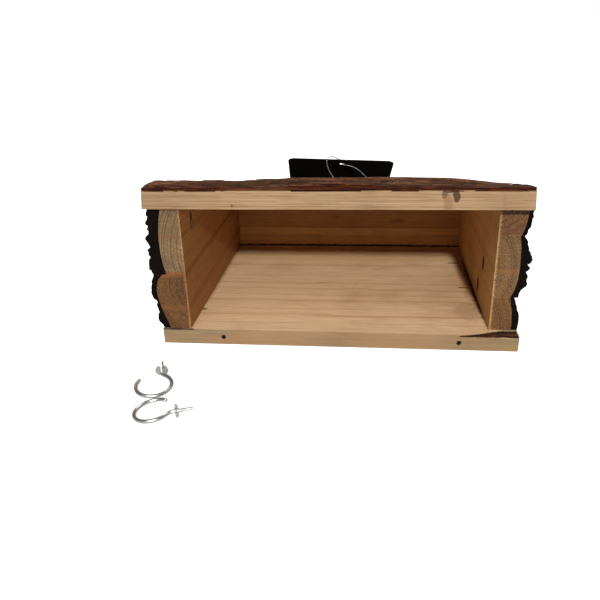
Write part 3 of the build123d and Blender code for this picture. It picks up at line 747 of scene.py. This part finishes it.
# a roof slab's bark: the section goes back along the wood's crown, then forward over the
# bark's own crown and down its cut front face
def roofBarkPiece(name, s):
    half, middle, seed = s["half"], s["middle"], s["seed"]
    slabStart = s["slab"] * roof["slabDepth"]
    x, down = np.meshgrid(
        np.linspace(middle - half + s["inset"], middle + half - s["inset"], int(2 * half / s["grid"])),
        np.linspace(0, roof["slabDepth"], int(roof["slabDepth"] / s["grid"])), indexing="ij")
    wood = throughPoints(s["wood"], down)
    bark = throughPoints(s["bark"], down)
    relief, tone = barkRelief(x, down + s["apart"] * seed, s)
    sag = s["swell"] * (noiseOver(x, down, s["swellSize"], seed + 40, 2) - 0.5)
    fade = sum(drop * ramp(side * (x - middle), start, end) for side, start, end, drop in s["drops"])
    flat = s["flat"]
    pressed = np.exp(-((x - flat["place"][0]) / flat["size"][0])**2
                     - ((down + slabStart - flat["place"][1]) / flat["size"][1])**2)
    lumps = s["depth"] * (relief - s["sunk"]) + sag
    top = bark + lumps * (1 - flat["smooth"] * pressed) - fade - flat["deep"] * pressed
    for headX, headDown, headTop in headPlaces:
        away = np.hypot(x - headX, down + slabStart - headDown)
        crushed = 1 - ramp(away, nailHeads["crushed"], nailHeads["lip"])
        top = top - crushed * np.maximum(top - headTop + nailHeads["under"], 0)
    top = np.maximum(top, wood + s["least"])
    low = wood - s["tuck"]
    # cut front face: a few rows down from the top's front edge, ragged by fine layers
    rows = np.linspace(0, 1, s["faceRows"])[None, 1:-1]
    faceUp = top[:, :1] * (1 - rows) + low[:, :1] * rows
    layers = noiseOver(x[:, :1], faceUp, s["layerSize"], seed + 60) - 0.5
    sheen = noiseOver(x[:, :1], faceUp, s["sheenSize"], seed + 70)
    up = np.concatenate([low[:, ::3], top[:, ::-1], faceUp], axis=1)
    faceBack = s["layerDeep"] * layers - s["layerBack"]
    back = slabStart + np.concatenate([down[:, ::3], down[:, ::-1], faceBack], axis=1)
    # the face's relief only colours it: the sheen noise paints lighter streaks, a painted sheen, and its
    # lower rows fall towards the wood, painted shade at the bark's foot
    faceRelief = (0.15 + 0.6 * sheen) * (1 - rows**2)
    reliefAll = np.concatenate([np.full(down[:, ::3].shape, 0.3), relief[:, ::-1], faceRelief], axis=1)
    toneAll = np.concatenate([tone[:, ::3], tone[:, ::-1], 0.3 + 0.6 * sheen], axis=1)
    y = roof["frontY"] + back * slopeCos + up * slopeSin
    z = roof["frontZ"] - back * slopeSin + up * slopeCos
    points = np.stack([np.broadcast_to(x[:, :1], up.shape), y, z], axis=-1)
    piece = sweptMesh(name, points, {"relief": reliefAll, "tone": toneAll}, sharp=70)
    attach(piece, "feeder")
    wear(piece, roofBarkSkin)
    return piece


roofSkins = {
    "half": 131.5, "middle": -2.1, "inset": 0.2, "grid": 0.9,
    "depth": 3.6, "sunk": 0.76, "least": 2.2, "tuck": 0.6, "swell": 1.2, "swellSize": (60, 40),
    "apart": 90, "flakeSize": (58, 11), "flakeSteps": 6, "splitSize": (120, 20),
    "faceRows": 8, "layerSize": (16, 0.9), "layerDeep": 0.9, "layerBack": 0.1, "sheenSize": (9, 1.3),
    "wood": [(0, 12.5), (36.3, 15), (72.6, 12.5)],
    "bark": [(0, 16.3), (6, 18.6), (20, 20.9), (38, 21.8), (56, 20.4), (72.6, 17.0)],
    "drops": [  # side, where the fall starts and ends from the middle, how deep
        (-1, 25, 75, 1.6), (-1, 128.5, 131.5, 1.2),
        (1, 35, 80, 0.8), (1, 75, 125, 3.3), (1, 129, 131.5, 1.4),
    ],
    # pressed flat under the tag's staple: place across and down the slope
    "flat": {"place": (-0.7, 97), "size": (26, 12), "smooth": 0.9, "deep": 0.5},
}
for slab, word in enumerate(("front", "middle", "rear")):
    piece = roofBarkPiece(word + "RoofBarkSkin", {**roofSkins, "slab": slab, "seed": 23 + 6 * slab})
    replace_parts(piece, f"roof_{word}_bark")
print("roof bark ready")


# crumbly strip of bark on the floor board's front right arris, growing from left to right
wane = {"stations": 120, "around": 14, "inset": 0.3, "lumps": 2.5, "thin": 0.35, "rough": (0.7, 0.6),
        "seed": 5, "grown": 0.9, "wide": 0.9, "tall": 1.1, "forward": 0.4, "spare": 0.2}


def waneStrip(s, material):
    low, high = [np.array(corner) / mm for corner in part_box("floor_wane_bark")]
    x = np.linspace(low[0] + s["inset"], high[0] - s["inset"], s["stations"])
    around = np.linspace(0, 2 * pi, s["around"], endpoint=False)
    grow = ramp((x - x[0]) / (x[-1] - x[0]), 0, s["grown"])[:, None]
    rough = softNoise(x[:, None] / s["lumps"], around[None, :] * 2, s["seed"])
    halfY, halfZ = 0.5 * (high[1] - low[1]), 0.5 * (high[2] - low[2])
    reach = (s["thin"] + (1 - s["thin"]) * grow) * (s["rough"][0] + s["rough"][1] * rough)
    y = low[1] + halfY * s["wide"] * (grow + reach * np.cos(around)) + s["forward"]
    z = high[2] - halfZ + halfZ * reach * np.sin(around) * s["tall"]
    y = np.maximum(y, low[1] - s["spare"])
    points = np.stack([np.broadcast_to(x[:, None], y.shape), y, z], axis=-1)
    piece = sweptMesh("waneStrip", points, {"relief": 0.05 + 0.4 * rough, "tone": rough})
    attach(piece, "feeder")
    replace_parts(piece, "floor_wane_bark")
    wear(piece, material)


waneStrip(wane, barkMaterial("waneBarkSkin", {
    **roofBark, "brown": (0.020, 0.007, 0.003), "topHighlight": 0.1, "frayLight": 0.2, "cut": (0.7, 0.5, 0.4)}))


# screw hooks
# bent wire: a circle carried along a flat path; on the shank a helical ridge is added to the
# radius, fading out before the collar, and the point tapers
hookShape = {  # mm; ringSweep in degrees; tip is the point's share of the wire's radius
    "wireR": 1.25, "ringR": 11.7, "bendR": 5.0, "neck": 1.5, "ringOffset": 5.0, "ringSweep": 274,
    "threadLength": 11.0, "pitch": 1.35, "coreR": 0.86, "threadFade": (1.6, 0.4), "taper": (-0.6, 3.2),
    "tip": 0.12, "collarR": 4.3, "collarThick": 1.2, "clear": 0.02,
    # a pressed disc, domed towards the neck with a rolled rim: place along the shank, radius
    "collar": [(0.02, 1.2), (0.0, 3.4), (-0.12, 4.0), (-0.45, 4.28), (-0.8, 4.22), (-1.02, 3.95),
               (-1.12, 3.3), (-1.2, 1.2)],
    "sides": 20, "collarSides": 48, "shankSteps": 230, "bendSteps": 18, "ringSteps": 130,
}
# each hook's place on the ground and the way it points, in degrees
looseHooks = {"hook_a": ((-116.5, -151.0), 286), "hook_b": ((-92.8, -197.8), 190)}


def hookFrame(place, heading, s):
    ringX = s["neck"] + np.sqrt((s["ringR"] + s["bendR"])**2 - (s["bendR"] + s["ringOffset"])**2)
    lean = np.arcsin((s["collarR"] - s["wireR"]) / (ringX + s["ringR"]))
    turn = radians(heading)
    ahead = np.array([cos(turn) * np.cos(lean), sin(turn) * np.cos(lean), -np.sin(lean)])
    upward = np.array([cos(turn) * np.sin(lean), sin(turn) * np.sin(lean), np.cos(lean)])
    height = s["collarR"] * np.cos(lean) + s["collarThick"] * np.sin(lean) + s["clear"]
    return np.array([*place, height]), ahead, np.cross(upward, ahead), upward, ringX


def makeHook(name, place, heading, s, material):
    origin, ahead, sideways, upward, ringX = hookFrame(place, heading, s)
    bendEnd = np.arcsin((s["bendR"] + s["ringOffset"]) / (s["ringR"] + s["bendR"]))
    shank = np.linspace(-s["collarThick"] - s["threadLength"], s["neck"], s["shankSteps"])
    bend = np.linspace(-pi / 2, -bendEnd, s["bendSteps"])[1:]
    ring = np.linspace(pi - bendEnd, pi - bendEnd - radians(s["ringSweep"]), s["ringSteps"])[1:]
    px = np.concatenate([shank, s["neck"] + s["bendR"] * np.cos(bend), ringX + s["ringR"] * np.cos(ring)])
    py = np.concatenate([0 * shank, s["bendR"] + s["bendR"] * np.sin(bend),
                         -s["ringOffset"] + s["ringR"] * np.sin(ring)])
    run = np.concatenate([[0], np.cumsum(np.hypot(np.diff(px), np.diff(py)))])
    tx, ty = np.gradient(px, run), np.gradient(py, run)
    length = np.hypot(tx, ty)
    tx, ty = tx / length, ty / length
    angle = np.linspace(0, 2 * pi, s["sides"], endpoint=False)
    # the ridge is a saw wave of the run and the angle, raised over the core
    phase = run[:, None] / s["pitch"] - angle[None, :] / (2 * pi)
    saw = np.abs(phase - np.floor(phase) - 0.5) * 2
    fadeFrom, fadeTo = (s["threadLength"] - f for f in s["threadFade"])
    onThread = (1 - ramp(run, fadeFrom, fadeTo))[:, None]
    core = s["wireR"] + (s["coreR"] - s["wireR"]) * onThread
    radius = core + (s["wireR"] - s["coreR"]) * ramp(saw, 0.45, 0.95) * onThread
    point = s["tip"] + (1 - s["tip"]) * ramp(run, *s["taper"])
    # the open end is rounded like a ball of the wire's own radius
    fromEnd = np.clip((run[-1] - run) / s["wireR"], 0, 1)
    end = np.sqrt(np.clip(1 - (1 - fromEnd)**2, 0.02, 1))
    radius = radius * point[:, None] * end[:, None]
    flatX = px[:, None] - ty[:, None] * radius * np.cos(angle)
    flatY = py[:, None] + tx[:, None] * radius * np.cos(angle)
    lift = radius * np.sin(angle)
    points = origin + flatX[..., None] * ahead + flatY[..., None] * sideways + lift[..., None] * upward
    wire = sweptMesh(name.replace("_", "") + "Wire", points)
    axis, out = np.array(s["collar"]).T
    spin = np.linspace(0, 2 * pi, s["collarSides"], endpoint=False)[:, None]
    points = origin + axis[:, None] * ahead + (out * np.cos(spin))[..., None] * sideways \
        + (out * np.sin(spin))[..., None] * upward
    collar = sweptMesh(name.replace("_", "") + "Collar", points, sharp=50, ring=True)
    for piece, node in ((wire, name + "_wire"), (collar, name + "_collar")):
        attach(piece, name)
        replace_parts(piece, node)
        wear(piece, material)


# plated or drawn steel: fine drawing lines, dull spots and a little tarnish
steelGrain = {"patchScale": 140.0, "speckScale": 2200.0, "drawnScale": 3000.0, "drawnDepth": 0.04 * mm}


def steelMaterial(name, s):
    s = {**steelGrain, **s}
    material, tree, shader = startMaterial(name)
    where = addNode(tree, "ShaderNodeTexCoord").outputs["Object"]
    grime = useGroup(tree, grimeGroup, {
        "Vector": where, "Patch Scale": s["patchScale"], "Speck Scale": s["speckScale"]})
    colour = tint(tree, calc(tree, "MULTIPLY", grime["Patches"], s["tarnish"]), s["metal"], s["dull"])
    colour = tint(tree, calc(tree, "MULTIPLY", grime["Specks"], 0.5), colour, s["dull"])
    fine = noiseAt(tree, where, s["drawnScale"], 2.0)
    shader.inputs["Metallic"].default_value = 1.0
    dress(tree, shader, colour, span(tree, fine, 0.3, 0.7, *s["gloss"]), fine, s["drawnDepth"], 0.4)
    return material


zincPlate = steelMaterial("zincPlate", {
    "metal": (0.72, 0.70, 0.67), "dull": (0.30, 0.27, 0.24), "tarnish": 0.4, "gloss": (0.18, 0.34)})
nailSteel = steelMaterial("nailSteel", {
    "metal": (0.22, 0.205, 0.19), "dull": (0.09, 0.055, 0.033), "tarnish": 0.92, "gloss": (0.4, 0.6)})
darkWire = steelMaterial("darkWire", {
    "metal": (0.16, 0.09, 0.05), "dull": (0.07, 0.03, 0.015), "tarnish": 0.8, "gloss": (0.45, 0.65)})
for hookName, (place, heading) in looseHooks.items():
    makeHook(hookName, place, heading, hookShape, zincPlate)
for nodeName in ("floor_nails", "roof_nails", "back_nails", "wall_pins"):
    wear(nodeName, nailSteel)
for nodeName in ("wall_staples", "tag_staple"):
    wear(nodeName, darkWire)
print("hooks and fastenings ready")


# tag: black coated card with a faint paper tooth, and its clear nylon loop
card = {
    "black": (0.0065, 0.0045, 0.0035), "smeared": (0.009, 0.0062, 0.0048), "worn": (0.03, 0.026, 0.024),
    "toothScale": 2600.0, "toothDepth": 0.03 * mm, "smearScale": 45.0, "gloss": (0.62, 0.72), "shine": 0.12,
}
nylon = {
    "clear": (0.62, 0.62, 0.61), "hazy": (0.75, 0.75, 0.74), "hazeScale": 700.0, "gloss": (0.12, 0.25),
    "transmission": 0.86, "refraction": 1.53,
}


def blackCard(s):
    material, tree, shader = startMaterial("blackCard")
    where = addNode(tree, "ShaderNodeTexCoord").outputs["Object"]
    tooth = noiseAt(tree, where, s["toothScale"], 2.0)
    smear = noiseAt(tree, where, s["smearScale"], 3.0)
    colour = tint(tree, span(tree, smear, 0.35, 0.7), s["black"], s["smeared"])
    colour = tint(tree, span(tree, tooth, 0.6, 0.75, 0.0, 0.3), colour, s["worn"])
    shader.inputs["Specular IOR Level"].default_value = s["shine"]
    dress(tree, shader, colour, span(tree, smear, 0.3, 0.7, *s["gloss"]), tooth, s["toothDepth"], 0.4)
    return material


def clearNylon(s):
    material, tree, shader = startMaterial("clearNylon")
    where = addNode(tree, "ShaderNodeTexCoord").outputs["Object"]
    haze = noiseAt(tree, where, s["hazeScale"], 2.0)
    tree.links.new(tint(tree, haze, s["clear"], s["hazy"]), shader.inputs["Base Color"])
    tree.links.new(span(tree, haze, 0.3, 0.7, *s["gloss"]), shader.inputs["Roughness"])
    shader.inputs["Transmission Weight"].default_value = s["transmission"]
    shader.inputs["IOR"].default_value = s["refraction"]
    return material


wear("tag_card", blackCard(card))
wear(nylonLoop, clearNylon(nylon))
print("tag ready")


# plain pale floor and soft light: the floor and the sky show white; the floor throws back
# only part of the light it shows
studio = {
    "reach": 30.0, "floorShade": 0.5, "floorRough": 0.9, "floorLift": 0.78, "sky": 0.17,
    "suns": [  # strength, spread, height, side; degrees
        ("frontLight", 4.2, 3, 28.7, 4),
        ("keyLight", 1.0, 40, 56, -12),
        ("rearLight", 1.5, 40, 50, 160),
    ],
}


def makeStudio(s):
    mesh = bpy.data.meshes.new("studioFloor")
    far = s["reach"]
    mesh.from_pydata([(-far, -far, 0), (far, -far, 0), (far, far, 0), (-far, far, 0)], [], [(0, 1, 2, 3)])
    floor = addObject("studioFloor", mesh)
    material, tree, shader = startMaterial("studioFloor")
    shader.inputs["Base Color"].default_value = (s["floorShade"],) * 3 + (1,)
    shader.inputs["Roughness"].default_value = s["floorRough"]
    shader.inputs["Specular IOR Level"].default_value = 0.0
    shader.inputs["Emission Color"].default_value = (1, 1, 1, 1)
    seen = addNode(tree, "ShaderNodeLightPath").outputs["Is Camera Ray"]
    tree.links.new(calc(tree, "MULTIPLY", seen, s["floorLift"]), shader.inputs["Emission Strength"])
    mesh.materials.append(material)
    world = bpy.data.worlds.new("studio")
    world.use_nodes = True
    bpy.context.scene.world = world
    tree = world.node_tree
    sky = next(n for n in tree.nodes if n.type == "BACKGROUND")
    seen = addNode(tree, "ShaderNodeLightPath").outputs["Is Camera Ray"]
    tree.links.new(span(tree, seen, 0.0, 1.0, s["sky"], 1.0, False), sky.inputs["Strength"])
    sky.inputs["Color"].default_value = (1, 1, 1, 1)
    for name, strength, spread, height, side in s["suns"]:
        light = bpy.data.lights.new(name, "SUN")
        light.energy, light.angle = strength, radians(spread)
        lamp = addObject(name, light)
        lamp.rotation_euler = (radians(90 - height), 0, radians(side))
    bpy.context.scene.view_settings.view_transform = "Standard"


makeStudio(studio)
